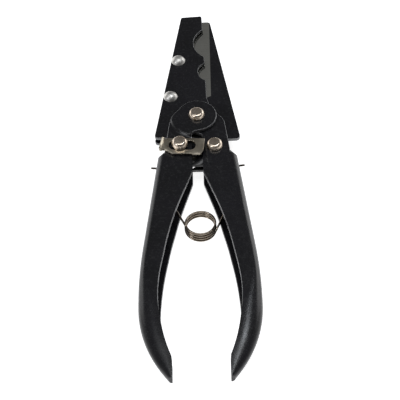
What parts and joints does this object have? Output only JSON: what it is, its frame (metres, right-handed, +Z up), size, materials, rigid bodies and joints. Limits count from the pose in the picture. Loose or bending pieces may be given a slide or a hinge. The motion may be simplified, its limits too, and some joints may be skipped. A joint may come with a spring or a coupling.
{
  "type": "latching hand cutter",
  "caption": "Spring-opened hand cutter of stamped black steel with a notched double-plate jaw, a ground blade, bowed channel handles and a sliding latch",
  "frame": {"origin": "on the pivot axis, on the rear face of the pivot rivet that the closed tool rests on", "axes": "+Y to the jaw tip along the length, +Z up to the latch side, +X to the blade's side"},
  "size_m": [0.0514, 0.2038, 0.0175],
  "materials": {
    "black_steel": "satin black coat with bare cut edges",
    "ground_steel": "ground faces on a black body",
    "nickel_steel": "polished nickel plate",
    "bare_steel": "dull bare steel",
    "spring_steel": "drawn wire, warm grey"
  },
  "bodies": {
    "left_lever": {"left_handle": "black_steel", "blade": "ground_steel", "pivot_rivet": "nickel_steel", "left_rivet": "nickel_steel", "front_left_spacer": "bare_steel", "rear_left_spacer": "bare_steel", "spring": "spring_steel"},
    "right_lever": {"right_handle": "black_steel", "front_jaw_plate": "black_steel", "rear_jaw_plate": "black_steel", "jaw_spacer": "black_steel", "upper_jaw_rivet": "nickel_steel", "lower_jaw_rivet": "nickel_steel", "right_rivet": "nickel_steel", "right_bush": "bare_steel", "front_right_washer": "bare_steel", "rear_right_washer": "bare_steel", "front_pivot_washer": "bare_steel", "rear_pivot_washer": "bare_steel"},
    "latch": {"latch": "bare_steel"}
  },
  "joints": [
    {"name": "lever_hinge", "type": "hinge", "parent": "left_lever", "child": "right_lever", "pos_m": [0, 0, 0], "axis": [0, 0, 1], "range_deg": [0, 15], "deforming": ["spring"]},
    {"name": "latch_slide", "type": "slide", "parent": "left_lever", "child": "latch", "axis": [-0.9989, 0.0471, 0], "range_m": [0, 0.0045]}
  ]
}
